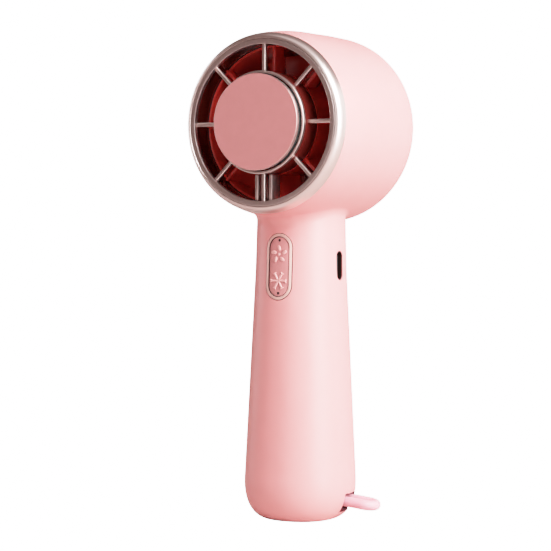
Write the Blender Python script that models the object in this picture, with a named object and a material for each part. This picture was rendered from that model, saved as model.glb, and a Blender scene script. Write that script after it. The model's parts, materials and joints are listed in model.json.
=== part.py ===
"""Handheld turbo fan with a chilled contact plate, as an assembly of separate solids.

World frame: +Z up, the air blows towards -Y, origin at the centre of the handle's flat underside.
Dimensions are in millimetres and become metres when a mesh is written.

Two local frames keep the numbers readable:
- head frame: +Z is the way the air blows, X is the object's X and +Y is up, on the barrel's axis;
- button frame: +Z points out of the handle's front face, X is the object's X and +Y climbs the face.
"""

import math

import bmesh
import bpy
from mathutils import Matrix, Vector

MM = 0.001

# Barrel, in the head frame.
HEAD_Z = 125.0  # height of the barrel's axis over the base
BARREL_R = 29.75  # outer radius at the barrel's waist
BARREL_SWELL = 0.3  # how much wider the barrel is behind the waist
BARREL_DRAW_IN = 1.65  # how much narrower it is at the front edge
FRONT_F = 22.0  # front edge of the pink barrel
WAIST_F = 5.0  # where the barrel is slimmest
SWELL_F = -8.0  # where the swell behind the waist is complete
DOME_F = -15.0  # where the rounded rear starts
REAR_F = -31.2  # rearmost point of the rounded rear
DOME_POWER = 2.6  # exponent of the rear's rounding; 2 is an ellipse
BORE_R = 26.8
REAR_OPENING_R = 21.5
FACE_F = 25.5  # front plane of the outlet's rim
RING_R = 28.05  # the flared silver ring where it meets the barrel
OPENING_R = 24.2
DUCT_R = 24.0
DUCT_OUTER_R = 25.7
HUB_IN, HUB_OUT = 15.0, 15.9  # ring round the plate, and the motor pod behind it
PLATE_F = 29.15  # face of the cold plate
PLATE_R = 14.9
FIN_PITCH = 3.6  # spacing of the heat sink's slots
SPOKE_COUNT = 8
BLADE_COUNT = 9
INTAKE_RIBS = 8
SHAFT_R = 1.5

# Handle.
HANDLE_HALF_X = 17.84  # half width of the section, extended down to the base
HANDLE_TAPER = 0.0475  # half width lost per millimetre of height
DEPTH_RATIO = 1.024  # half depth over half width
SQUARENESS = 2.2  # exponent of the superellipse section
HANDLE_WALL = 2.0
FOOT_H = 14.0  # height of the rounded foot
FOOT_DRAW_IN = 9.5  # how far the foot's rounding draws the section in
FOOT_POWER = 2.3  # exponent of the foot's rounding; 2 is an ellipse
FILLET_FRONT, FILLET_REAR = 4.5, 2.2  # neck fillet at the front and rear of the handle
NECK_Z = 88.0  # section the neck fillet rises from
NECK_SUNK = 0.12  # how far inside the barrel the fillet ends, so that the surfaces cross cleanly
CAVITY_FLOOR = 2.4
CAVITY_TOP = HEAD_Z - 24.0

# Button panel, in the button frame, and the sockets beside it.
BUTTON_Z = 80.55
BEZEL_W, BEZEL_H = 9.1, 20.8
BEZEL_RIM = 0.9
CAP_GAP = 0.25
PIVOT_DEPTH = 1.9
SWITCH_Y = 6.0  # distance of each switch from the button's pivot
BOARD_DEPTH = 5.0
LED_Y = 8.3  # distance of each indicator window from the pivot
SNOWFLAKE_Y, FAN_SIGN_Y = -4.5, 3.9  # middles of the raised signs
ARM_REACH = 2.9  # half length of a snowflake bar
PETAL_MIDDLE, PETAL_LONG, PETAL_WIDE = 1.95, 0.95, 0.6  # a petal's distance out and half axes
PORT_Z = 80.87
PORT_W, PORT_H = 3.3, 9.2

# Inside the handle.
BATTERY_R = 9.1
BATTERY_Y = 1.5
BATTERY_Z = (10.9, 75.9)

# Wrist loop.
PIN_X, PIN_Y = 10.6, 4.2
PIN_R = 1.0
CORD_R = 1.6
LOOP_END_R = 2.95  # radius of the loop's end turns, at the middle of the cord
LOOP_RUN = 11.0  # straight part of the loop
LOOP_Z = 6.6
LOOP_DROOP = math.radians(3.5)

BIG, MID, SMALL, TINY = 44, 28, 16, 10  # segments of large to tiny round pieces

SHELL_PINK = ("shell_pink", (0.86, 0.47, 0.46), 0.38, 0.0)
PLATE_PINK = ("plate_pink", (0.66, 0.29, 0.28), 0.40, 0.6)
SATIN_SILVER = ("satin_silver", (0.62, 0.56, 0.55), 0.30, 0.9)
DUCT_RED = ("duct_red", (0.20, 0.02, 0.02), 0.35, 0.0)
BUTTON_PINK = ("button_pink", (0.78, 0.36, 0.36), 0.45, 0.0)
CORD_PINK = ("cord_pink", (0.85, 0.50, 0.50), 0.60, 0.0)
RUBBER_BLACK = ("rubber_black", (0.02, 0.02, 0.02), 0.80, 0.0)
CERAMIC_WHITE = ("ceramic_white", (0.80, 0.80, 0.78), 0.50, 0.0)
ALUMINIUM = ("aluminium", (0.60, 0.61, 0.62), 0.35, 1.0)
STEEL = ("steel", (0.45, 0.45, 0.46), 0.30, 1.0)
BRASS = ("brass", (0.65, 0.48, 0.20), 0.30, 1.0)
COPPER = ("copper", (0.60, 0.26, 0.12), 0.35, 1.0)
MAGNET_GREY = ("magnet_grey", (0.10, 0.10, 0.11), 0.60, 0.2)
BOARD_GREEN = ("board_green", (0.02, 0.16, 0.07), 0.45, 0.0)
SWITCH_BLACK = ("switch_black", (0.02, 0.02, 0.02), 0.55, 0.0)
CELL_BLUE = ("cell_blue", (0.06, 0.22, 0.42), 0.35, 0.0)
CRADLE_WHITE = ("cradle_white", (0.70, 0.69, 0.66), 0.55, 0.0)
FOAM_GREY = ("foam_grey", (0.25, 0.25, 0.26), 0.90, 0.0)
LENS_SMOKE = ("lens_smoke", (0.10, 0.06, 0.06), 0.15, 0.0)
WIRE_RED = ("wire_red", (0.60, 0.03, 0.03), 0.50, 0.0)
WIRE_BLACK = ("wire_black", (0.02, 0.02, 0.02), 0.50, 0.0)


# ---------------------------------------------------------------- tools


def clear_scene():
    for old in list(bpy.data.objects):
        bpy.data.objects.remove(old, do_unlink=True)


def material(finish):
    name, colour, roughness, metallic = finish
    made = bpy.data.materials.get(name)
    if made is None:
        made = bpy.data.materials.new(name)
        made.use_nodes = True
        bsdf = made.node_tree.nodes["Principled BSDF"]
        bsdf.inputs["Base Color"].default_value = (*colour, 1.0)
        bsdf.inputs["Roughness"].default_value = roughness
        bsdf.inputs["Metallic"].default_value = metallic
    return made


def smooth(mesh):
    mesh.shade_smooth()
    mesh.set_sharp_from_angle(angle=math.radians(30))


def to_object(name, bm, finish=None, frame=None):
    """Writes a bmesh drawn in millimetres as an outward-facing object in metres, standing in frame."""
    bmesh.ops.remove_doubles(bm, verts=bm.verts, dist=1e-4)
    bmesh.ops.recalc_face_normals(bm, faces=bm.faces)
    bmesh.ops.scale(bm, vec=(MM, MM, MM), verts=bm.verts)
    mesh = bpy.data.meshes.new(name)
    bm.to_mesh(mesh)
    bm.free()
    smooth(mesh)
    made = bpy.data.objects.new(name, mesh)
    bpy.context.scene.collection.objects.link(made)
    if finish:
        mesh.materials.append(material(finish))
    if frame:
        made.matrix_world = frame
    return made


def combine(target, operation, others):
    """Applies a Boolean of each of the others to target, and removes them."""
    for other in others:
        modifier = target.modifiers.new("Boolean", "BOOLEAN")
        modifier.operation = operation
        modifier.solver = "EXACT"
        modifier.object = other
        bpy.context.view_layer.update()
        graph = bpy.context.evaluated_depsgraph_get()
        result = bpy.data.meshes.new_from_object(target.evaluated_get(graph))
        target.modifiers.remove(modifier)
        target.data = result
        bpy.data.objects.remove(other, do_unlink=True)
    smooth(target.data)
    return target


def cut(target, *others):
    return combine(target, "DIFFERENCE", others)


def join(target, *others):
    return combine(target, "UNION", others)


def trim(target, *others):
    return combine(target, "INTERSECT", others)


def turned(name, profile, segments, **placing):
    """A solid turned about local Z; profile lists (radius, z) round a closed section."""
    bm = bmesh.new()
    verts = [bm.verts.new((r, 0, z)) for r, z in profile]
    pairs = zip(verts, verts[1:] + verts[:1])
    edges = [bm.edges.new(pair) for pair in pairs if pair[0].co.x + pair[1].co.x > 1e-6]
    bmesh.ops.spin(
        bm, geom=edges + verts, axis=(0, 0, 1), cent=(0, 0, 0), angle=math.tau, steps=segments, use_merge=True
    )
    return to_object(name, bm, **placing)


def ring(name, r_in, r_out, z0, z1, segments=MID, **placing):
    """A plain ring, or a disc when r_in is 0."""
    return turned(name, [(r_in, z0), (r_out, z0), (r_out, z1), (r_in, z1)], segments, **placing)


def prism(name, outline, z0, z1, **placing):
    """An outline of (x, y) points extruded along local Z."""
    bm = bmesh.new()
    face = bm.faces.new([bm.verts.new((x, y, z0)) for x, y in outline])
    made = bmesh.ops.extrude_face_region(bm, geom=[face])
    top = [v for v in made["geom"] if isinstance(v, bmesh.types.BMVert)]
    bmesh.ops.translate(bm, vec=(0, 0, z1 - z0), verts=top)
    return to_object(name, bm, **placing)


def box(name, low, high, edge=0.0, **placing):
    """A box between two corners; edge is the width of its chamfers."""
    bm = bmesh.new()
    size = [b - a for a, b in zip(low, high)]
    middle = [(a + b) / 2 for a, b in zip(low, high)]
    bmesh.ops.create_cube(bm, size=1, matrix=Matrix.Translation(middle) @ Matrix.Diagonal((*size, 1)))
    if edge:
        bmesh.ops.bevel(bm, geom=bm.edges[:], offset=edge, segments=1, profile=0.5, affect="EDGES")
    return to_object(name, bm, **placing)


def rod(name, start, end, radius, segments=TINY, **placing):
    """A round bar between two points."""
    start, end = Vector(start), Vector(end)
    turn = (end - start).to_track_quat("Z", "Y").to_matrix().to_4x4()
    bm = bmesh.new()
    bmesh.ops.create_cone(
        bm,
        cap_ends=True,
        segments=segments,
        radius1=radius,
        radius2=radius,
        depth=(end - start).length,
        matrix=Matrix.Translation((start + end) / 2) @ turn,
    )
    return to_object(name, bm, **placing)


def lofted(name, rings, closed=False, **placing):
    """A solid skinned over rings of equal length; closed joins the last ring to the first."""
    bm = bmesh.new()
    loops = [[bm.verts.new(p) for p in points] for points in rings]
    for low, high in zip(loops, loops[1:] + (loops[:1] if closed else [])):
        for i in range(len(low)):
            j = (i + 1) % len(low)
            bm.faces.new((low[i], low[j], high[j], high[i]))
    if not closed:
        bm.faces.new(loops[0])
        bm.faces.new(loops[-1])
    return to_object(name, bm, **placing)


def tube(name, path, radius, closed=False, sides=8, **placing):
    """A round cord along a path of points."""
    rings = []
    side = None
    count = len(path)
    for i, point in enumerate(path):
        ahead = path[(i + 1) % count] if closed or i < count - 1 else path[i]
        behind = path[i - 1] if closed or i > 0 else path[i]
        along = (ahead - behind).normalized()
        if side is None:
            side = along.orthogonal()
        side = (side - along * side.dot(along)).normalized()
        up = along.cross(side)
        turns = [math.tau * (k + 0.5) / sides for k in range(sides)]
        rings.append([point + side * (radius * math.cos(t)) + up * (radius * math.sin(t)) for t in turns])
    return lofted(name, rings, closed, **placing)


def wire(name, knots, radius, finish):
    """A flexible lead that runs smoothly through its knots."""
    knots = [Vector(k) for k in knots]
    padded = [knots[0], *knots, knots[-1]]
    path = []
    for a, b, c, d in zip(padded, padded[1:], padded[2:], padded[3:]):
        for step in range(3):
            t = step / 3
            bend = (2 * a - 5 * b + 4 * c - d) * t * t + (3 * b - a - 3 * c + d) * t**3
            path.append((2 * b + (c - a) * t + bend) / 2)
    path.append(knots[-1])
    return tube(name, path, radius, sides=5, finish=finish)


def arc(centre, radius, start_deg, end_deg, steps):
    """Points along an arc, both ends included."""
    turns = [math.radians(start_deg + (end_deg - start_deg) * i / steps) for i in range(steps + 1)]
    return [(centre[0] + radius * math.cos(t), centre[1] + radius * math.sin(t)) for t in turns]


def stadium(width, height, steps=8):
    """Outline of an upright slot with round ends."""
    r = width / 2
    reach = height / 2 - r
    return arc((0, reach), r, 0, 180, steps) + arc((0, -reach), r, 180, 360, steps)


def around(count, start_deg=0.0):
    """Angles spaced evenly round a circle."""
    return [math.radians(start_deg) + math.tau * i / count for i in range(count)]


def turned_by(made, angle):
    """Turns a piece drawn in the head frame about the barrel's axis."""
    made.matrix_world = made.matrix_world @ Matrix.Rotation(angle, 4, "Z")
    return made


# ---------------------------------------------------------------- frames and shared shapes


def head_frame():
    return Matrix.Translation((0, 0, HEAD_Z * MM)) @ Matrix.Rotation(math.radians(90), 4, "X")


def button_frame():
    face_y = -DEPTH_RATIO * (HANDLE_HALF_X - HANDLE_TAPER * BUTTON_Z)
    lean = math.atan(HANDLE_TAPER * DEPTH_RATIO)
    turn = Matrix.Rotation(math.radians(90) - lean, 4, "X")
    return Matrix.Translation((0, face_y * MM, BUTTON_Z * MM)) @ turn


def port_frame():
    """Local Z runs out through the handle's side and local Y runs up."""
    turn = Matrix(((0, 0, 1), (1, 0, 0), (0, 1, 0))).to_4x4()
    return Matrix.Translation((0, 0, PORT_Z * MM)) @ turn


def barrel_radius(f):
    """Outer radius of the barrel: drawn in at the front, a slight waist and a domed rear."""
    if f > WAIST_F:
        return BARREL_R - BARREL_DRAW_IN * ((f - WAIST_F) / (FRONT_F - WAIST_F)) ** 2
    share = min(1.0, (WAIST_F - f) / (WAIST_F - SWELL_F))
    radius = BARREL_R + BARREL_SWELL * share * share * (3 - 2 * share)
    if f < DOME_F:
        share = min(1.0, (DOME_F - f) / (DOME_F - REAR_F))
        radius *= (1 - share**DOME_POWER) ** (1 / DOME_POWER)
    return radius


def dome_f(radius):
    """Where along the axis the domed rear has this radius."""
    share = radius / (BARREL_R + BARREL_SWELL)
    return DOME_F - (DOME_F - REAR_F) * (1 - share**DOME_POWER) ** (1 / DOME_POWER)


def handle_half(z):
    """Half width of the handle's section at a height, drawn in round the foot."""
    half = HANDLE_HALF_X - HANDLE_TAPER * z
    if z < FOOT_H:
        share = 1 - max(z, 0.0) / FOOT_H
        half -= FOOT_DRAW_IN * (1 - (1 - share**FOOT_POWER) ** (1 / FOOT_POWER))
    return half


def handle_ring(z, inset=0.0, points=36):
    """Points round the handle's superellipse section."""
    half_x = handle_half(z) - inset
    half_y = handle_half(z) * DEPTH_RATIO - inset
    found = []
    for turn in around(points, 180 / points):
        c, s = math.cos(turn), math.sin(turn)
        x = half_x * math.copysign(abs(c) ** (2 / SQUARENESS), c)
        y = half_y * math.copysign(abs(s) ** (2 / SQUARENESS), s)
        found.append(Vector((x, y, z)))
    return found


def foot_levels(bottom, steps):
    """Heights up the rounded foot, closer together where it curves most."""
    return [FOOT_H - (FOOT_H - bottom) * math.cos(math.pi / 2 * i / steps) for i in range(steps + 1)]


def handle_core(name, bottom, top, inset):
    """A plain solid of the handle's section, drawn in by inset."""
    levels = foot_levels(bottom, 5) if bottom < FOOT_H else [bottom]
    return lofted(name, [handle_ring(z, inset) for z in [*levels, top]])


def under_barrel(point, sunk):
    """Height of the barrel's underside over a point, on a barrel made smaller by sunk."""
    radius = barrel_radius(-point.y) - sunk
    return HEAD_Z - math.sqrt(max(radius * radius - point.x * point.x, 0.0))


def neck_arc(foot, outward, steps=4):
    """Arc of a ball that rolls between the handle and the barrel, over one point of the section."""
    rearness = (1 + outward.y) / 2
    radius = FILLET_FRONT + (FILLET_REAR - FILLET_FRONT) * rearness

    def nearest(centre_z):
        """Distance, reach and height of the barrel point nearest to the ball's centre."""
        found = []
        for i in range(61):
            reach = radius * 2 * i / 60
            z = under_barrel(foot + outward * reach, NECK_SUNK)
            found.append((math.hypot(reach - radius, z - centre_z), reach, z))
        return min(found)

    low, high = foot.z - 10, under_barrel(foot + outward * radius, NECK_SUNK)
    for _ in range(30):  # halve the span until the ball just touches the barrel
        middle = (low + high) / 2
        if nearest(middle)[0] > radius:
            low = middle
        else:
            high = middle
    _, reach, z = nearest(low)
    end = math.atan2(z - low, reach - radius)
    found = []
    for i in range(steps + 1):
        turn = math.pi + (end - math.pi) * i / steps
        rise = low + radius * math.sin(turn) - foot.z
        found.append(foot + outward * (radius * (1 + math.cos(turn))) + Vector((0, 0, rise)))
    return found


def handle_column(name):
    """The handle's outer solid, flared at the top to meet the barrel."""
    rings = [handle_ring(z) for z in [*foot_levels(0.0, 6), 40.0, 70.0]]
    section = handle_ring(NECK_Z)
    arcs = []
    for i, foot in enumerate(section):
        along = section[(i + 1) % len(section)] - section[i - 1]
        arcs.append(neck_arc(foot, Vector((along.y, -along.x, 0)).normalized()))
    rings += [list(step) for step in zip(*arcs)]
    rings.append([p + Vector((0, 0, 0.8)) for p in rings[-1]])
    rings.append(handle_ring(HEAD_Z - 22.0))
    return lofted(name, rings)


def polar(radius, turn, z):
    return Vector((radius * math.cos(turn), radius * math.sin(turn), z))


def blade(name, stations, thickness, **placing):
    """A thin curved blade; each station is (z, root radius, tip radius, angle)."""
    rings = []
    for z, root, tip, turn in stations:
        one = [polar(r, turn + thickness / 2 / r, z) for r in (root, tip)]
        other = [polar(r, turn - thickness / 2 / r, z) for r in (tip, root)]
        rings.append(one + other)
    return lofted(name, rings, **placing)


# ---------------------------------------------------------------- housing


def make_housing():
    """One moulded shell: barrel and handle, with every opening cut through it."""
    head = head_frame()
    front = [(0.0, FRONT_F), (barrel_radius(FRONT_F) - 0.3, FRONT_F), (barrel_radius(21.7), 21.7)]
    body = [(barrel_radius(f), f) for f in (18.0, 14.0, 9.5, 5.0, -1.0, -8.0, DOME_F)]
    dome = [(barrel_radius(f), f) for f in (-18.5, -21.5, -24.0, -26.2)]
    rear_f = dome_f(REAR_OPENING_R)
    rear = [(REAR_OPENING_R, rear_f), (0.0, rear_f)]
    shell = turned("main_housing", front + body + dome + rear, BIG, finish=SHELL_PINK, frame=head)
    join(shell, handle_column("column"))
    bore = [(0.0, 24.0), (BORE_R, 24.0), (BORE_R, -19.0), (25.6, -22.5), (24.0, -24.7)]
    bore += [(REAR_OPENING_R - 1.6, -26.4), (REAR_OPENING_R - 1.6, -30.0), (0.0, -30.0)]
    seat = ring("seat", 0.0, REAR_OPENING_R - 0.4, -30.0, rear_f + 1.4, BIG, frame=head)
    cut(
        shell,
        turned("bore", bore, BIG, frame=head),
        seat,
        handle_core("cavity", CAVITY_FLOOR, CAVITY_TOP, HANDLE_WALL),
    )
    pocket_walls = box("pocket_walls", (5.6, -2.8, 0.9), (16.0, 11.2, 10.5))
    join(shell, trim(pocket_walls, handle_core("foot_limit", 0.5, 20.0, 0.8)))
    button = button_frame()
    cut(
        shell,
        box("loop_mouth", (12.9, -1.1, 3.0), (22.0, 9.5, 8.9)),
        box("loop_pocket", (PIN_X - 4.6, -1.1, 3.0), (13.4, 9.5, 9.35)),
        rod("pin_hole", (PIN_X, PIN_Y, 1.5), (PIN_X, PIN_Y, 10.1), PIN_R + 0.2),
        prism("port_hole", stadium(PORT_W + 0.1, PORT_H + 0.1), 8.0, 20.0, frame=port_frame()),
        prism("bezel_hole", stadium(BEZEL_W + 0.4, BEZEL_H + 0.4), -4.5, 4.0, frame=button),
    )
    return shell


def make_loop():
    rod("loop_pin", (PIN_X, PIN_Y, 1.7), (PIN_X, PIN_Y, 9.9), PIN_R, finish=STEEL)
    turns = [math.pi / 2 + math.pi * i / 8 for i in range(9)]
    near = [Vector((LOOP_END_R * math.cos(t), LOOP_END_R * math.sin(t), 0)) for t in turns]
    far = [Vector((LOOP_RUN - p.x, -p.y, 0)) for p in near]
    middle = [Vector((LOOP_RUN / 2, -LOOP_END_R, 0)), Vector((LOOP_RUN / 2, LOOP_END_R, 0))]
    path = [*near, middle[0], *far, middle[1]]
    place = Matrix.Translation((PIN_X * MM, PIN_Y * MM, LOOP_Z * MM)) @ Matrix.Rotation(LOOP_DROOP, 4, "Y")
    tube("wrist_loop", path, CORD_R, closed=True, sides=10, finish=CORD_PINK, frame=place)


# ---------------------------------------------------------------- head


def make_outlet():
    """Satin outer ring, rim with its spokes and hub ring, and the channel for the leads."""
    head = head_frame()
    profile = [(25.95, 12.0), (26.5, 12.0), (26.5, 22.2), (RING_R, 22.2), (27.8, 23.4), (27.3, 24.5)]
    profile += [(26.3, FACE_F), (25.95, FACE_F)]
    outer = turned("front_ring", profile, BIG, finish=SATIN_SILVER, frame=head)
    cut(outer, box("lead_notch", (-2.2, -27.5, 11.0), (2.2, -25.0, 20.4), frame=head))
    grille = ring("outlet_grille", OPENING_R, 25.75, 23.8, FACE_F, BIG, finish=SATIN_SILVER, frame=head)
    spokes = []
    for turn in around(SPOKE_COUNT):
        spoke = box("spoke", (HUB_OUT - 0.3, -0.6, 22.6), (OPENING_R + 0.4, 0.6, 24.0), frame=head)
        spokes.append(turned_by(spoke, turn))
    hub = ring("hub", HUB_IN, HUB_OUT, 18.3, 26.8, BIG, frame=head)
    join(grille, hub, *spokes)
    lead_gate = box("lead_gate", (-1.9, -HUB_OUT - 0.2, 17.0), (1.9, -HUB_IN + 0.2, 22.3), frame=head)
    cut(grille, lead_gate)
    outline = [(-3.05, 18.8), (3.05, 18.8), (3.05, 23.7), (1.95, 23.7), (1.95, 19.8), (-1.95, 19.8)]
    outline += [(-1.95, 23.7), (-3.05, 23.7)]
    floor, top = HEAD_Z - DUCT_R, HEAD_Z - HUB_OUT - 0.05
    channel = prism("lead_channel", [(x, -f) for x, f in outline], floor, top, finish=SATIN_SILVER)
    round_end = ring("round_end", 0.0, HUB_OUT + 0.1, 10.0, 30.0, BIG, frame=head)
    cut(channel, round_end)


def make_cooler():
    """Cold plate, its gasket, the thermoelectric module and the heat sink behind it."""
    head = head_frame()
    plate = [(0.0, 27.85), (PLATE_R, 27.85), (PLATE_R, 28.85), (PLATE_R - 0.3, PLATE_F), (0.0, PLATE_F)]
    turned("cold_plate", plate, BIG, finish=PLATE_PINK, frame=head)
    ring("plate_gasket", 12.9, 14.7, 26.2, 27.7, finish=RUBBER_BLACK, frame=head)
    module = box("peltier_module", (-8.5, -8.5, 24.4), (8.5, 8.5, 27.7), finish=CERAMIC_WHITE, frame=head)
    groove = box("groove", (-9, -9, 25.2), (9, 9, 26.9), frame=head)
    core = box("core", (-7.9, -7.9, 25.0), (7.9, 7.9, 27.1), frame=head)
    join(cut(module, groove), core)
    sink = ring("heat_sink", 0.0, 12.9, 22.0, 24.2, finish=ALUMINIUM, frame=head)
    middles = [FIN_PITCH * (i - 2.5) for i in range(6)]
    slots = [box("slot", (x - 0.9, -14, 16.0), (x + 0.9, 14, 21.0), frame=head) for x in middles]
    fins = cut(ring("fins", 0.0, 12.4, 16.4, 22.1, frame=head), *slots)
    join(sink, fins)


def make_duct():
    """Air duct with its guide vanes and motor pod, moulded in one piece."""
    head = head_frame()
    wall = [(DUCT_R, -11.0), (DUCT_OUTER_R - 0.4, -14.4), (DUCT_OUTER_R, -14.4), (DUCT_OUTER_R, 23.4)]
    wall += [(24.9, 23.4), (24.9, 16.5), (DUCT_R, 16.5)]
    duct = turned("air_duct", wall, BIG, finish=DUCT_RED, frame=head)
    pod = [(14.7, 4.2), (HUB_OUT, 4.2), (HUB_OUT, 18.0), (14.7, 18.0), (14.7, 14.4), (3.2, 14.4)]
    pod += [(3.2, 13.2), (14.7, 13.2)]
    vane = [(6.0, HUB_OUT - 0.4, DUCT_R + 0.5, 0.16), (9.0, HUB_OUT - 0.4, DUCT_R + 0.5, 0.06)]
    vane += [(12.0, HUB_OUT - 0.4, DUCT_R + 0.5, 0.01), (17.9, HUB_OUT - 0.4, DUCT_R + 0.5, 0.0)]
    vanes = [turned_by(blade("vane", vane, 0.9, frame=head), turn) for turn in around(SPOKE_COUNT)]
    join(duct, turned("pod", pod, BIG, frame=head), *vanes)
    cut(
        duct,
        box("lead_gate", (-2.2, -27.0, 18.2), (2.2, -24.4, 24.0), frame=head),
        rod("lead_hole", (0.9, -12.6, 12.0), (0.9, -12.6, 16.0), 1.1, frame=head),
    )


def make_motor():
    """Outrunner motor on its bearing tube, and the impeller it turns."""
    head = head_frame()
    tube_profile = [(3.1, 0.0), (4.0, 0.0), (4.0, 12.9), (5.6, 12.9), (5.6, 13.1), (3.1, 13.1)]
    turned("bearing_tube", tube_profile, SMALL, finish=BRASS, frame=head)
    ring("bearing_rear", SHAFT_R + 0.05, 3.0, 0.2, 2.6, SMALL, finish=STEEL, frame=head)
    ring("bearing_front", SHAFT_R + 0.05, 3.0, 9.8, 12.2, SMALL, finish=STEEL, frame=head)
    core = ring("stator_core", 4.1, 5.2, 3.4, 8.4, SMALL, finish=STEEL, frame=head)
    teeth = []
    for turn in around(9):
        tooth = box("tooth", (4.9, -0.6, 3.4), (8.6, 0.6, 8.4), frame=head)
        shoe = box("shoe", (8.4, -2.4, 3.4), (9.4, 2.4, 8.4), frame=head)
        teeth += [turned_by(tooth, turn), turned_by(shoe, turn)]
    join(core, *teeth)
    winding = [(5.3, 2.6), (7.9, 2.6), (7.9, 3.2), (5.3, 3.2)]
    turned("winding_rear", winding, SMALL, finish=COPPER, frame=head)
    turned("winding_front", [(r, 11.8 - z) for r, z in winding], SMALL, finish=COPPER, frame=head)
    board = ring("motor_board", 4.4, 12.0, 10.9, 11.7, finish=BOARD_GREEN, frame=head)
    chip = box("chip", (6.0, -2.0, 11.6), (10.0, 2.0, 12.6), frame=head)
    join(board, chip)

    bell = [(SHAFT_R + 0.1, -4.6), (12.9, -4.6), (12.9, 9.6), (12.1, 9.6), (12.1, -3.4), (2.8, -3.4)]
    bell += [(2.8, -1.4), (SHAFT_R + 0.1, -1.4)]
    turned("rotor_bell", bell, finish=STEEL, frame=head, segments=MID)
    ring("magnet_ring", 10.0, 11.9, 2.4, 9.4, finish=MAGNET_GREY, frame=head)
    shaft = [(0.0, -7.4), (SHAFT_R, -7.4), (SHAFT_R, 12.8), (0.9, 12.8), (0.9, 13.2), (SHAFT_R, 13.2)]
    shaft += [(SHAFT_R, 13.8), (0.0, 13.8)]
    turned("motor_shaft", shaft, TINY, finish=STEEL, frame=head)
    ring("retaining_ring", 1.0, 2.5, 12.85, 13.15, TINY, finish=STEEL, frame=head)

    nose = [(SHAFT_R + 0.1, -9.8), (5.0, -9.8), (9.5, -9.0), (12.6, -7.2), (14.3, -4.4), (14.7, -1.0)]
    nose += [(14.7, 3.4), (13.2, 3.4), (13.2, -4.9), (3.6, -4.9), (SHAFT_R + 0.1, -4.9)]
    impeller = turned("impeller", nose, MID, finish=DUCT_RED, frame=head)
    stations = [(-8.6, 12.2, 23.3, 0.0), (-4.6, 13.8, 23.3, 0.14)]
    stations += [(-0.8, 14.2, 23.3, 0.36), (2.8, 14.2, 23.3, 0.66)]
    blades = [turned_by(blade("blade", stations, 1.0, frame=head), turn) for turn in around(BLADE_COUNT)]
    cut(join(impeller, *blades), ring("bell_space", 0.0, 13.2, -4.9, 5.0, frame=head))
    cut(impeller, rod("shaft_bore", (0, 0, -7.5), (0, 0, 0), SHAFT_R + 0.1, frame=head))


def make_intake():
    """Domed intake grille that closes the barrel's rear."""
    head = head_frame()
    outer_r = REAR_OPENING_R - 0.65

    def dome_ring(name, r_in, r_out, **placing):
        skin = [(r, dome_f(r)) for r in (r_in, r_out)]
        back = [(r, f + 1.3) for r, f in reversed(skin)]
        return turned(name, skin + back, 24, **placing)

    grille = dome_ring("intake_grille", 0.0, 4.2, finish=SHELL_PINK, frame=head)
    rings = [dome_ring("hoop", r, r + 1.1, frame=head) for r in (8.6, 14.0)]
    rings.append(dome_ring("hoop", outer_r - 1.3, outer_r, frame=head))
    ribs = []
    for turn in around(INTAKE_RIBS):
        radii = (3.6, 10.0, 15.5, outer_r - 0.4)
        skin = [(r, dome_f(r) + 0.06) for r in radii]
        outline = skin + [(r, f + 1.1) for r, f in reversed(skin)]
        upright = head @ Matrix.Rotation(turn, 4, "Z") @ Matrix.Rotation(math.radians(90), 4, "X")
        ribs.append(prism("rib", outline, -0.5, 0.5, frame=upright))
    join(grille, *rings, *ribs)


# ---------------------------------------------------------------- button


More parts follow.
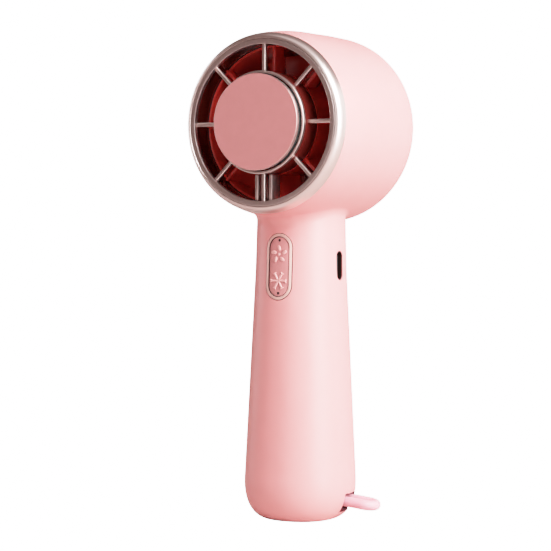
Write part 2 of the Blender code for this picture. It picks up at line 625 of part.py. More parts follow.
def make_button():
    """Bezel, rocker with its icons and pivot, and the two switches behind it."""
    frame = button_frame()
    bezel = prism("button_bezel", stadium(BEZEL_W, BEZEL_H), -3.3, 3.0, finish=SATIN_SILVER, frame=frame)
    trim(bezel, handle_core("bezel_skin", 60.0, 100.0, -0.12))
    inner_w, inner_h = BEZEL_W - 2 * BEZEL_RIM, BEZEL_H - 2 * BEZEL_RIM
    pivot_start, pivot_end = (-BEZEL_W / 2 + 0.3, 0, -PIVOT_DEPTH), (BEZEL_W / 2 - 0.3, 0, -PIVOT_DEPTH)
    cut(
        bezel,
        prism("bezel_space", stadium(inner_w, inner_h), -6.0, 5.0, frame=frame),
        rod("pivot_hole", pivot_start, pivot_end, 0.62, frame=frame),
    )
    rod("button_pivot", (-4.15, 0, -PIVOT_DEPTH), (4.15, 0, -PIVOT_DEPTH), 0.5, finish=STEEL, frame=frame)

    cap = stadium(inner_w - 2 * CAP_GAP, inner_h - 2 * CAP_GAP)
    rocker = prism("rocker_button", cap, -1.5, 3.0, finish=BUTTON_PINK, frame=frame)
    trim(rocker, handle_core("rocker_skin", 60.0, 100.0, 0.12))
    boss = box("boss", (-2.6, -1.2, -2.9), (2.6, 1.2, -1.2), frame=frame)
    posts = [rod("post", (0, y, -2.35), (0, y, -1.2), 1.0, frame=frame) for y in (-SWITCH_Y, SWITCH_Y)]
    join(rocker, boss, *posts, *button_icons(frame))
    windows = [rod("window_hole", (0, y, -1.2), (0, y, 1.0), 0.55, frame=frame) for y in (-LED_Y, LED_Y)]
    cut(rocker, rod("pivot_space", (-5, 0, -PIVOT_DEPTH), (5, 0, -PIVOT_DEPTH), 0.68, frame=frame), *windows)
    for name, y in (("led_window_lower", -LED_Y), ("led_window_upper", LED_Y)):
        rod(name, (0, y, -1.1), (0, y, -0.18), 0.42, finish=LENS_SMOKE, frame=frame)

    board_low, board_high = (-6, -10.4, -BOARD_DEPTH - 0.8), (6, 10.4, -BOARD_DEPTH)
    board = box("button_board", board_low, board_high, finish=BOARD_GREEN, frame=frame)
    chip = box("chip", (-2.2, -1.6, -BOARD_DEPTH - 0.1), (2.2, 1.6, -BOARD_DEPTH + 0.8), frame=frame)
    join(board, chip)
    for side, y in (("lower", -SWITCH_Y), ("upper", SWITCH_Y)):
        low, high = (-2.2, y - 2.2, -4.95), (2.2, y + 2.2, -3.5)
        body = box(f"switch_{side}", low, high, finish=SWITCH_BLACK, frame=frame)
        cut(body, rod("plunger_space", (0, y, -4.3), (0, y, -3), 1.1, frame=frame))
        rod(f"switch_plunger_{side}", (0, y, -4.0), (0, y, -2.7), 0.9, finish=CRADLE_WHITE, frame=frame)


def button_icons(frame):
    """Raised signs on the rocker: a snowflake of three bars below and a fan of five petals above."""
    low, high = -0.6, 0.0
    marks = []
    for turn in around(3):
        place = frame @ Matrix.Translation((0, SNOWFLAKE_Y * MM, 0)) @ Matrix.Rotation(turn, 4, "Z")
        marks.append(box("arm", (-ARM_REACH, -0.28, low), (ARM_REACH, 0.28, high), frame=place))
    for turn in around(5, 18):
        place = frame @ Matrix.Translation((0, FAN_SIGN_Y * MM, 0)) @ Matrix.Rotation(turn, 4, "Z")
        petal = [(PETAL_MIDDLE + PETAL_LONG * math.cos(t), PETAL_WIDE * math.sin(t)) for t in around(8)]
        marks.append(prism("petal", petal, low, high, frame=place))
    return marks


# ---------------------------------------------------------------- handle internals


def make_port():
    """Charging socket on its board."""
    frame = port_frame()
    outer, inner = stadium(PORT_W - 0.1, PORT_H - 0.2), stadium(PORT_W - 0.7, PORT_H - 0.8)
    shell = prism("usb_shell", outer, 6.2, 13.8, finish=STEEL, frame=frame)
    cut(shell, prism("usb_space", inner, 6.9, 14.0, frame=frame))
    box("usb_tongue", (-0.35, -3.3, 7.0), (0.35, 3.3, 13.1), finish=SWITCH_BLACK, frame=frame)
    board = box("charge_board", (-9.0, 1.8, 77.2), (10.0, 2.8, 94.0), finish=BOARD_GREEN)
    chip = box("chip", (-6.5, 0.4, 79.0), (-1.5, 1.9, 84.0))
    coil = rod("coil", (-4.0, 2.7, 89.0), (-4.0, 5.2, 89.0), 3.0, SMALL)
    join(board, chip, coil)


def make_power():
    """Cell with its tabs, cradle, foam and leads."""
    low, high = BATTERY_Z
    place = Matrix.Translation((0, BATTERY_Y * MM, 0))
    cell = [(0.0, low), (BATTERY_R - 0.4, low), (BATTERY_R, low + 0.4), (BATTERY_R, high - 1.6)]
    cell += [(BATTERY_R - 0.7, high - 1.0), (3.0, high - 0.9), (3.0, high), (0.0, high)]
    turned("battery_cell", cell, MID, finish=CELL_BLUE, frame=place)
    box("battery_tab_lower", (-3, BATTERY_Y - 8.5, low - 0.3), (3, BATTERY_Y + 3, low - 0.1), finish=STEEL)
    box("battery_tab_upper", (-2, BATTERY_Y - 2, high + 0.1), (2, BATTERY_Y + 6, high + 0.3), finish=STEEL)

    inner = arc((0, BATTERY_Y), BATTERY_R + 0.3, 0, 180, 12)
    outer = arc((0, BATTERY_Y), BATTERY_R + 1.2, 180, 0, 12)
    cradle = prism("battery_cradle", inner + outer, 13.0, 74.5, finish=CRADLE_WHITE)
    rails = [box("rail", (x - 0.35, 3.0, 70.0), (x + 0.35, 5.0, 92.0)) for x in (-9.65, 9.65)]
    window = box("window", (-6, 8, 25), (6, 20, 62))
    cut(join(cradle, *rails), window)
    box("battery_foam", (-5.0, -12.2, 26.0), (5.0, -7.9, 60.0), edge=0.8, finish=FOAM_GREY)

    black_run = [(0, -7.6, low - 0.7), (4, -9.4, 14), (8.6, -8.8, 24), (8.9, -8.0, 60)]
    black_run += [(7.4, -6.2, 76.5), (3.6, -4.0, 79), (1.4, 0.9, 82)]
    wire("battery_lead_black", black_run, 0.6, WIRE_BLACK)
    red_run = [(0, 8.2, high + 0.8), (-2, 8.8, 79), (-5, 6.4, 82), (-6.4, 3.6, 84)]
    wire("battery_lead_red", red_run, 0.6, WIRE_RED)
    wire("button_lead", [(4, -7.2, 88), (4.4, -5.2, 91), (4.4, -1.5, 92), (4.4, 1.2, 91)], 0.6, WIRE_BLACK)
    channel_y = -20.6
    under_duct = HEAD_Z - (BORE_R + DUCT_OUTER_R) / 2
    for name, x, finish, tail in (
        ("plate_lead", -0.9, WIRE_RED, [(-0.9, -21.8, 110.9), (-0.9, -24.8, 111.2), (-0.9, -26.0, 115.6)]),
        ("motor_lead", 0.9, WIRE_BLACK, [(0.9, -18.2, 110.9), (0.9, -14.6, 112.4), (0.9, -12.0, 113.4)]),
    ):
        run = [(x, 0.2, 92), (x, -2.5, 95.5), (x, -8.0, under_duct - 0.3), (x, -12.0, under_duct)]
        run += [(x, -18.0, under_duct), (x, channel_y, 100.6), (x, channel_y, 105.0), (x, channel_y, 109.6)]
        wire(name, run + tail, 0.4, finish)


clear_scene()
make_housing()
make_loop()
make_outlet()
make_cooler()
make_duct()
make_motor()
make_intake()
make_button()
make_port()
make_power()
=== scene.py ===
"""Looks of the handheld turbo fan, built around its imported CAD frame.

Lengths are in millimetres until a mesh is written. Two local frames are used, as in the CAD source:
- head frame: +Z is the way the air blows, X is the object's X, +Y is up, origin on the barrel's axis;
- button frame: +Z points out of the handle's front face, X is the object's X, +Y climbs the face.
"""

import json
import math

import bmesh
import bpy
from mathutils import Matrix, Vector


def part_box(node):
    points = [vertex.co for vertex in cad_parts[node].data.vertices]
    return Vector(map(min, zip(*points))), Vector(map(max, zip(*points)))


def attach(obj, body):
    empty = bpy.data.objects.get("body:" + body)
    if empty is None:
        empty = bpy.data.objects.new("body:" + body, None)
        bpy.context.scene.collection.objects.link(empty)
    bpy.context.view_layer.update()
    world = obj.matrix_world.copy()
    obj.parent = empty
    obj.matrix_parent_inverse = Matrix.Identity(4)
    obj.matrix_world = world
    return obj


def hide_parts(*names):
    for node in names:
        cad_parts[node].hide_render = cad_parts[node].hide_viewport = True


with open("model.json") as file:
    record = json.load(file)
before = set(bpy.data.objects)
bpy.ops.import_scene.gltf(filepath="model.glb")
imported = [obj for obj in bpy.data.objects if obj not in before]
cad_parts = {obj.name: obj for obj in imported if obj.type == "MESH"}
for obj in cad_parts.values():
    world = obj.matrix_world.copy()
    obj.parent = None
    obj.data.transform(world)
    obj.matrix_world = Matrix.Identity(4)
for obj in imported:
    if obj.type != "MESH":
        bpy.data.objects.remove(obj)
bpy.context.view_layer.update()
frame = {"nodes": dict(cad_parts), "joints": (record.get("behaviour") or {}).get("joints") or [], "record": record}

MM = 0.001
JOINTS = {joint["name"]: joint for joint in frame["joints"]}


def low_mm(node):
    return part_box(node)[0] / MM


def high_mm(node):
    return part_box(node)[1] / MM


# Barrel, in the head frame.
HEAD_Z = JOINTS["impeller_spin"]["pos_m"][2] / MM
BARREL_R = 29.75
BARREL_SWELL = 0.3
BARREL_DRAW_IN = 1.65
FRONT_F = 22.0
WAIST_F = 5.0  # where the barrel is slimmest
SWELL_F = -8.0  # where the swell behind the waist is complete
DOME_F = -15.0  # where the rounded rear starts
REAR_F = -31.2
DOME_POWER = 2.6
BORE_R = 26.8
REAR_OPENING_R = 21.5
FACE_F = -low_mm("outlet_grille").y - 1.3
PLATE_F = -low_mm("cold_plate").y
PLATE_R = high_mm("cold_plate").x
RING_R = high_mm("front_ring").x
OPENING_R = 24.2
DUCT_R = 24.0
SLEEVE_F = 25.5  # the hub ring behind this is painted dark red, as painted shade inside the duct
HUB_IN, HUB_OUT = 15.0, 15.9
SPOKE_COUNT = 8
BLADE_COUNT = 9
INTAKE_RIBS = 24

# Handle.
HANDLE_HALF_X = 17.84
HANDLE_TAPER = 0.0475
DEPTH_RATIO = 1.024
SQUARENESS = 2.2
HANDLE_WALL = 2.0
FOOT_H = 14.0
FOOT_DRAW_IN = 9.5
FOOT_POWER = 2.3
FILLET_FRONT, FILLET_REAR = 4.5, 2.2  # neck fillet at the front and rear of the handle
NECK_Z = 88.0  # section the neck fillet rises from
NECK_SUNK = 0.012  # how far inside the barrel the fillet ends
CAVITY_FLOOR = 2.4
CAVITY_TOP = HEAD_Z - 24.0

# Button panel and charging port.
BUTTON_Z = 80.55
BEZEL_W, BEZEL_H = 9.1, 20.8
BEZEL_RIM = 0.9
CAP_GAP = 0.25
PIVOT_DEPTH = 1.9
POST_Y = 6.0  # distance of each switch post from the pivot
LED_Y = 8.3  # distance of each indicator window from the pivot
FAN_SIGN_Y, SNOWFLAKE_Y = 3.87, -4.44  # middles of the raised signs
PORT_Z = 80.87
PORT_W, PORT_H = 3.3, 9.2

# Wrist loop.
PIN_X, PIN_Y, LOOP_Z = [value / MM for value in JOINTS["loop_swing"]["pos_m"]]
CORD_R = 1.6
LOOP_END_R = 2.95
LOOP_RUN = 11.0

# Studio.
CAMERA_PLACE = (296.8, -521.4, 86.6)
CAMERA_AIM = (0.0, -16.2, 77.8)
CAMERA_ROLL = 0.22  # degrees
CAMERA_TURN = 30.4  # degrees from the front of the fan round to the camera
LENS = 122.6
LIGHT_DISTANCE = 700
WHITE_LEVEL = 4.0  # scene brightness that the camera shows as white

FINE, MEDIUM = 192, 96  # segments round large and middling pieces


# ---------------------------------------------------------------- meshes


def smooth(mesh, angle=30):
    mesh.shade_smooth()
    mesh.set_sharp_from_angle(angle=math.radians(angle))


def to_object(name, bm, frame_matrix=None):
    """Writes a bmesh drawn in millimetres as an object whose mesh is in the row frame."""
    bmesh.ops.remove_doubles(bm, verts=bm.verts, dist=1e-4)
    bmesh.ops.recalc_face_normals(bm, faces=bm.faces)
    bmesh.ops.scale(bm, vec=(MM, MM, MM), verts=bm.verts)
    mesh = bpy.data.meshes.new(name)
    bm.to_mesh(mesh)
    bm.free()
    if frame_matrix:
        mesh.transform(frame_matrix)
    smooth(mesh)
    made = bpy.data.objects.new(name, mesh)
    bpy.context.scene.collection.objects.link(made)
    return made


def apply_modifiers(piece):
    bpy.context.view_layer.update()
    graph = bpy.context.evaluated_depsgraph_get()
    result = bpy.data.meshes.new_from_object(piece.evaluated_get(graph))
    piece.modifiers.clear()
    piece.data = result
    return piece


def combine(target, operation, others):
    """Applies a Boolean of each of the others to target, and removes them."""
    for other in others:
        modifier = target.modifiers.new("Boolean", "BOOLEAN")
        modifier.operation = operation
        modifier.solver = "EXACT"
        modifier.object = other
        apply_modifiers(target)
        bpy.data.objects.remove(other, do_unlink=True)
    smooth(target.data)
    return target


def cut(target, *others):
    return combine(target, "DIFFERENCE", others)


def join(target, *others):
    return combine(target, "UNION", others)


def trim(target, *others):
    return combine(target, "INTERSECT", others)


def soften(piece, width, segments=3, angle=35):
    """Rounds a piece's sharp edges by width, in millimetres."""
    bevel = piece.modifiers.new("Bevel", "BEVEL")
    bevel.width = width * MM
    bevel.segments = segments
    bevel.limit_method = "ANGLE"
    bevel.angle_limit = math.radians(angle)
    bevel.use_clamp_overlap = True
    bevel.harden_normals = False
    apply_modifiers(piece)
    smooth(piece.data, 40)
    return piece


def turned(name, profile, segments=FINE, at=None):
    """A solid turned about local Z; profile lists (radius, z) round a closed section."""
    bm = bmesh.new()
    verts = [bm.verts.new((r, 0, z)) for r, z in profile]
    pairs = zip(verts, verts[1:] + verts[:1])
    edges = [bm.edges.new(pair) for pair in pairs if pair[0].co.x + pair[1].co.x > 1e-6]
    bmesh.ops.spin(
        bm, geom=edges + verts, axis=(0, 0, 1), cent=(0, 0, 0), angle=math.tau, steps=segments, use_merge=True
    )
    return to_object(name, bm, at)


def rounded(profile, radius, steps=4):
    """Rounds the corners of a closed (radius, z) profile that stand off the axis."""
    points = [Vector(p) for p in profile]
    found = []
    for i, corner in enumerate(points):
        before, after = points[i - 1], points[(i + 1) % len(points)]
        to_before, to_after = before - corner, after - corner
        reach = min(radius, to_before.length * 0.45, to_after.length * 0.45)
        straight = to_before.normalized().dot(to_after.normalized()) < -0.97
        if corner.x < 1e-6 or straight or reach < 1e-3:
            found.append(corner)
            continue
        start = corner + to_before.normalized() * reach
        end = corner + to_after.normalized() * reach
        for k in range(steps + 1):
            t = k / steps
            found.append(start * (1 - t) ** 2 + corner * 2 * t * (1 - t) + end * t * t)
    return [(p.x, p.y) for p in found]


def prism(name, outline, z0, z1, at=None):
    """An outline of (x, y) points extruded along local Z."""
    bm = bmesh.new()
    face = bm.faces.new([bm.verts.new((x, y, z0)) for x, y in outline])
    made = bmesh.ops.extrude_face_region(bm, geom=[face])
    top = [v for v in made["geom"] if isinstance(v, bmesh.types.BMVert)]
    bmesh.ops.translate(bm, vec=(0, 0, z1 - z0), verts=top)
    return to_object(name, bm, at)


def box(name, low, high, at=None):
    bm = bmesh.new()
    size = [b - a for a, b in zip(low, high)]
    middle = [(a + b) / 2 for a, b in zip(low, high)]
    bmesh.ops.create_cube(bm, size=1, matrix=Matrix.Translation(middle) @ Matrix.Diagonal((*size, 1)))
    return to_object(name, bm, at)


def lofted(name, rings, closed=False, at=None):
    """A solid skinned over rings of equal length; closed joins the last ring to the first."""
    bm = bmesh.new()
    loops = [[bm.verts.new(p) for p in points] for points in rings]
    for low, high in zip(loops, loops[1:] + (loops[:1] if closed else [])):
        for i in range(len(low)):
            j = (i + 1) % len(low)
            bm.faces.new((low[i], low[j], high[j], high[i]))
    if not closed:
        bm.faces.new(loops[0])
        bm.faces.new(loops[-1])
    return to_object(name, bm, at)


def arc(centre, radius, start_deg, end_deg, steps):
    turns = [math.radians(start_deg + (end_deg - start_deg) * i / steps) for i in range(steps + 1)]
    return [(centre[0] + radius * math.cos(t), centre[1] + radius * math.sin(t)) for t in turns]


def stadium(width, height, steps=24):
    """Outline of an upright slot with round ends."""
    r = width / 2
    reach = height / 2 - r
    return arc((0, reach), r, 0, 180, steps) + arc((0, -reach), r, 180, 360, steps)


def around(count, start_deg=0.0):
    return [math.radians(start_deg) + math.tau * i / count for i in range(count)]


def spun(angle):
    """Head frame turned about the barrel's axis."""
    return HEAD @ Matrix.Rotation(angle, 4, "Z")


def polar(radius, turn, z):
    return Vector((radius * math.cos(turn), radius * math.sin(turn), z))


# ---------------------------------------------------------------- frames and shared shapes


def head_frame():
    return Matrix.Translation((0, 0, HEAD_Z * MM)) @ Matrix.Rotation(math.radians(90), 4, "X")


def button_frame():
    face_y = -DEPTH_RATIO * (HANDLE_HALF_X - HANDLE_TAPER * BUTTON_Z)
    lean = math.atan(HANDLE_TAPER * DEPTH_RATIO)
    turn = Matrix.Rotation(math.radians(90) - lean, 4, "X")
    return Matrix.Translation((0, face_y * MM, BUTTON_Z * MM)) @ turn


def port_frame():
    turn = Matrix(((0, 0, 1), (1, 0, 0), (0, 1, 0))).to_4x4()
    return Matrix.Translation((0, 0, PORT_Z * MM)) @ turn


HEAD, BUTTON, PORT = head_frame(), button_frame(), port_frame()


def barrel_radius(f):
    if f > WAIST_F:
        return BARREL_R - BARREL_DRAW_IN * ((f - WAIST_F) / (FRONT_F - WAIST_F)) ** 2
    share = min(1.0, (WAIST_F - f) / (WAIST_F - SWELL_F))
    radius = BARREL_R + BARREL_SWELL * share * share * (3 - 2 * share)
    if f < DOME_F:
        share = min(1.0, (DOME_F - f) / (DOME_F - REAR_F))
        radius *= (1 - share**DOME_POWER) ** (1 / DOME_POWER)
    return radius


def dome_f(radius):
    share = radius / (BARREL_R + BARREL_SWELL)
    return DOME_F - (DOME_F - REAR_F) * (1 - share**DOME_POWER) ** (1 / DOME_POWER)


def handle_half(z):
    half = HANDLE_HALF_X - HANDLE_TAPER * z
    if z < FOOT_H:
        share = 1 - max(z, 0.0) / FOOT_H
        half -= FOOT_DRAW_IN * (1 - (1 - share**FOOT_POWER) ** (1 / FOOT_POWER))
    return half


def handle_ring(z, inset=0.0, points=144):
    half_x = handle_half(z) - inset
    half_y = handle_half(z) * DEPTH_RATIO - inset
    found = []
    for turn in around(points, 180 / points):
        c, s = math.cos(turn), math.sin(turn)
        x = half_x * math.copysign(abs(c) ** (2 / SQUARENESS), c)
        y = half_y * math.copysign(abs(s) ** (2 / SQUARENESS), s)
        found.append(Vector((x, y, z)))
    return found


def foot_levels(bottom, steps):
    return [FOOT_H - (FOOT_H - bottom) * math.cos(math.pi / 2 * i / steps) for i in range(steps + 1)]


def handle_core(name, bottom, top, inset, points=144):
    levels = foot_levels(bottom, 12) if bottom < FOOT_H else [bottom]
    return lofted(name, [handle_ring(z, inset, points) for z in [*levels, top]])


def under_barrel(point, sunk):
    """Height of the barrel's underside over a point, on a barrel made smaller by sunk."""
    radius = barrel_radius(-point.y) - sunk
    return HEAD_Z - math.sqrt(max(radius * radius - point.x * point.x, 0.0))


def neck_arc(foot, outward, steps=14):
    """Arc of a ball that rolls between the handle and the barrel, over one point of the section."""
    rearness = (1 + outward.y) / 2
    radius = FILLET_FRONT + (FILLET_REAR - FILLET_FRONT) * rearness

    def nearest(centre_z):
        """Distance, reach and height of the barrel point nearest to the ball's centre."""
        found = []
        for i in range(121):
            reach = radius * 2 * i / 120
            z = under_barrel(foot + outward * reach, NECK_SUNK)
            found.append((math.hypot(reach - radius, z - centre_z), reach, z))
        return min(found)

    low, high = foot.z - 10, under_barrel(foot + outward * radius, NECK_SUNK)
    for _ in range(30):  # halve the span until the ball just touches the barrel
        middle = (low + high) / 2
        if nearest(middle)[0] > radius:
            low = middle
        else:
            high = middle
    _, reach, z = nearest(low)
    end = math.atan2(z - low, reach - radius)
    found = []
    for i in range(steps + 1):
        turn = math.pi + (end - math.pi) * i / steps
        rise = low + radius * math.sin(turn) - foot.z
        found.append(foot + outward * (radius * (1 + math.cos(turn))) + Vector((0, 0, rise)))
    return found


def handle_column(name):
    rings = [handle_ring(z) for z in [*foot_levels(0.0, 20), 20.0, 30.0, 40.0, 50.0, 60.0, 70.0, 80.0]]
    section = handle_ring(NECK_Z)
    arcs = []
    for i, foot in enumerate(section):
        along = section[(i + 1) % len(section)] - section[i - 1]
        arcs.append(neck_arc(foot, Vector((along.y, -along.x, 0)).normalized()))
    rings += [list(step) for step in zip(*arcs)]
    rings.append([p + Vector((0, 0, 0.8)) for p in rings[-1]])
    rings.append(handle_ring(HEAD_Z - 22.0))
    return lofted(name, rings)


def blade(name, stations, thickness, at):
    """A thin curved blade; each station is (z, root radius, tip radius, angle)."""
    rings = []
    for z, root, tip, turn in stations:
        spans = [root + (tip - root) * i / 4 for i in range(5)]
        one = [polar(r, turn + thickness / 2 / r, z) for r in spans]
        other = [polar(r, turn - thickness / 2 / r, z) for r in reversed(spans)]
        rings.append(one + other)
    return lofted(name, rings, at=at)


# ---------------------------------------------------------------- materials


MATERIALS = {}  # by the name asked for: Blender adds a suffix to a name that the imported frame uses


def new_material(name):
    made = bpy.data.materials.new(name)
    made.use_nodes = True
    MATERIALS[name] = made
    return made.node_tree, made.node_tree.nodes["Principled BSDF"]


def node(tree, kind, **values):
    made = tree.nodes.new(kind)
    for key, value in values.items():
        if key in made.inputs:
            made.inputs[key].default_value = value
        else:
            setattr(made, key, value)
    return made


def grain(tree, bsdf, scale, strength, distance, base, spread, rough, rough_spread):
    """Fine moulded or blasted texture: noise drives bump, a slight colour drift and the roughness."""
    coords = node(tree, "ShaderNodeTexCoord")
    fine = node(tree, "ShaderNodeTexNoise", Scale=scale, Detail=4.0, Roughness=0.6)
    broad = node(tree, "ShaderNodeTexNoise", Scale=scale / 40, Detail=2.0, Roughness=0.5)
    for noise in (fine, broad):
        tree.links.new(coords.outputs["Object"], noise.inputs["Vector"])
    bump = node(tree, "ShaderNodeBump", Strength=strength, Distance=distance)
    tree.links.new(fine.outputs["Fac"], bump.inputs["Height"])
    tree.links.new(bump.outputs["Normal"], bsdf.inputs["Normal"])
    ramp = node(tree, "ShaderNodeValToRGB")
    ramp.color_ramp.elements[0].position = 0.3
    ramp.color_ramp.elements[1].position = 0.7
    ramp.color_ramp.elements[0].color = (*[c * (1 - spread) for c in base], 1.0)
    ramp.color_ramp.elements[1].color = (*[min(1.0, c * (1 + spread)) for c in base], 1.0)
    tree.links.new(broad.outputs["Fac"], ramp.inputs["Fac"])
    tree.links.new(ramp.outputs["Color"], bsdf.inputs["Base Color"])
    spread_map = node(tree, "ShaderNodeMapRange")
    spread_map.inputs["To Min"].default_value = rough - rough_spread
    spread_map.inputs["To Max"].default_value = rough + rough_spread
    tree.links.new(fine.outputs["Fac"], spread_map.inputs["Value"])
    tree.links.new(spread_map.outputs["Result"], bsdf.inputs["Roughness"])
    return ramp


def surface(name, base, rough, metallic=0.0, scale=9000, strength=0.06, spread=0.02, coat=0.0, sheen=0.0,
            subsurface=0.0):
    tree, bsdf = new_material(name)
    grain(tree, bsdf, scale, strength, 0.00005, base, spread, rough, 0.04)
    bsdf.inputs["Metallic"].default_value = metallic
    bsdf.inputs["Coat Weight"].default_value = coat
    bsdf.inputs["Coat Roughness"].default_value = 0.15
    bsdf.inputs["Sheen Weight"].default_value = sheen
    if subsurface:
        bsdf.inputs["Subsurface Weight"].default_value = subsurface
        bsdf.inputs["Subsurface Radius"].default_value = (1.0, 0.45, 0.4)
        bsdf.inputs["Subsurface Scale"].default_value = 0.0008


def brushed(name, base, rough):
    """Satin metal: fine noise drives a slight bump and the roughness."""
    tree, bsdf = new_material(name)
    coords = node(tree, "ShaderNodeTexCoord")
    fine = node(tree, "ShaderNodeTexNoise", Scale=7000.0, Detail=3.0)
    tree.links.new(coords.outputs["Object"], fine.inputs["Vector"])
    bump = node(tree, "ShaderNodeBump", Strength=0.08, Distance=0.00003)
    tree.links.new(fine.outputs["Fac"], bump.inputs["Height"])
    tree.links.new(bump.outputs["Normal"], bsdf.inputs["Normal"])
    ramp = node(tree, "ShaderNodeMapRange")
    ramp.inputs["To Min"].default_value = rough - 0.05
    ramp.inputs["To Max"].default_value = rough + 0.07
    tree.links.new(fine.outputs["Fac"], ramp.inputs["Value"])
    tree.links.new(ramp.outputs["Result"], bsdf.inputs["Roughness"])
    bsdf.inputs["Base Color"].default_value = (*base, 1.0)
    bsdf.inputs["Metallic"].default_value = 1.0


def make_materials():
    """One procedural material per slot of the record, and the second materials of painted faces."""
    surface("shell_pink", (0.80, 0.29, 0.29), 0.42, strength=0.05, spread=0.012, subsurface=0.12)
    surface("plate_pink", (0.62, 0.24, 0.24), 0.50, scale=14000, strength=0.10, metallic=0.35)
    brushed("satin_silver", (0.73, 0.61, 0.585), 0.32)
    surface("duct_red", (0.55, 0.03, 0.022), 0.22, scale=3000, strength=0.03, spread=0.1, coat=0.4)
    surface("button_pink", (0.58, 0.22, 0.22), 0.42, scale=12000, strength=0.10)
    surface("cord_pink", (0.88, 0.35, 0.41), 0.52, scale=6000, strength=0.08, sheen=0.2, subsurface=0.2)
    surface("rubber_black", (0.015, 0.013, 0.013), 0.7, strength=0.1)
    surface("ceramic_white", (0.80, 0.80, 0.78), 0.5, spread=0.04)
    brushed("aluminium", (0.62, 0.63, 0.64), 0.35)
    brushed("steel", (0.45, 0.45, 0.46), 0.32)
    brushed("brass", (0.70, 0.52, 0.24), 0.28)
    brushed("copper", (0.72, 0.33, 0.16), 0.35)
    surface("magnet_grey", (0.08, 0.08, 0.085), 0.6, scale=5000, strength=0.2)
    surface("board_green", (0.02, 0.16, 0.07), 0.4, scale=1500, spread=0.15, coat=0.3)
    surface("switch_black", (0.02, 0.02, 0.021), 0.5, strength=0.1)
    surface("cell_blue", (0.05, 0.20, 0.42), 0.3, scale=1200, strength=0.05, coat=0.4)
    surface("cradle_white", (0.72, 0.71, 0.68), 0.55, strength=0.1)
    surface("foam_grey", (0.20, 0.20, 0.21), 0.95, scale=2500, strength=0.8, spread=0.2)
    surface("lens_smoke", (0.05, 0.03, 0.03), 0.12, scale=1000, strength=0.02, coat=0.6)
    surface("wire_red", (0.55, 0.03, 0.03), 0.45, scale=4000)
    surface("wire_black", (0.02, 0.02, 0.02), 0.45, scale=4000)
    # second materials
    brushed("plate_edge", (0.72, 0.50, 0.48), 0.30)
    brushed("rim_satin", (0.60, 0.50, 0.48), 0.34)
    # painted shade: the hub ring's rear, deep inside the duct, is coloured dark red
    surface("sleeve_painted_shade", (0.09, 0.008, 0.006), 0.30, scale=3000, strength=0.03)
    surface("pocket_shade", (0.17, 0.045, 0.055), 0.60)
    # painted shade: the recessed collar behind the outlet lip is coloured near black
    surface("collar_painted_shade", (0.035, 0.003, 0.002), 0.2, scale=3000, strength=0.03, coat=0.4)
    # painted shade: the dark line that stands in for the shadowed gaps on both sides of the bezel
    surface("bezel_edge_painted_shade", (0.03, 0.014, 0.012), 0.45, scale=12000)
    # painted reflection: the silver bezel's bright pinkish sheen is given as a pale colour with little metal
    surface("bezel_painted_sheen", (0.80, 0.46, 0.42), 0.32, metallic=0.3, scale=12000)
    # painted highlight: the raised marks are coloured lighter than the cap to stand in for the light on their
    # relief
    surface("button_mark_painted_highlight", (0.74, 0.34, 0.33), 0.34, scale=12000)
    # painted shade: the port's steel shell is coloured near black to show the shade of the deep opening
    brushed("port_painted_shade", (0.06, 0.035, 0.03), 0.35)


def finish_piece(piece, body, slot, replaced):
    piece.data.materials.clear()
    piece.data.materials.append(MATERIALS[slot])
    piece.data.polygons.foreach_set("material_index", [0] * len(piece.data.polygons))
    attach(piece, body)
    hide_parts(replaced)
    return piece


def paint_faces(piece, name, chosen):
    """Gives one more material to faces chosen by radius and depth in the head and by normal."""
    piece.data.materials.append(MATERIALS[name])
    last = len(piece.data.materials) - 1
    for face in piece.data.polygons:
        middle = face.center / MM
        if chosen(math.hypot(middle.x, middle.z - HEAD_Z), -middle.y, face.normal):
            face.material_index = last


def paint_pocket(shell):
    """The loop's pocket is in deep shade: its square-cut walls get a dark material."""
    shell.data.materials.append(MATERIALS["pocket_shade"])
    for face in shell.data.polygons:
        x, y, z = face.center / MM
        square = max(abs(part) for part in face.normal) > 0.9999
        inside = PIN_X - 5 < x < 17 and -1.2 < y < 9.6 and 2.9 < z < 9.4
        face.material_index = 1 if square and inside else 0


def paint_frame():
    """Every CAD node gets the material of its slot, seen or not."""
    slots = {part["node"]: part["material_slot"] for part in frame["record"]["subparts"]}
    for name, piece in frame["nodes"].items():
        piece.data.materials.clear()
        piece.data.materials.append(MATERIALS[slots[name]])


# ---------------------------------------------------------------- housing


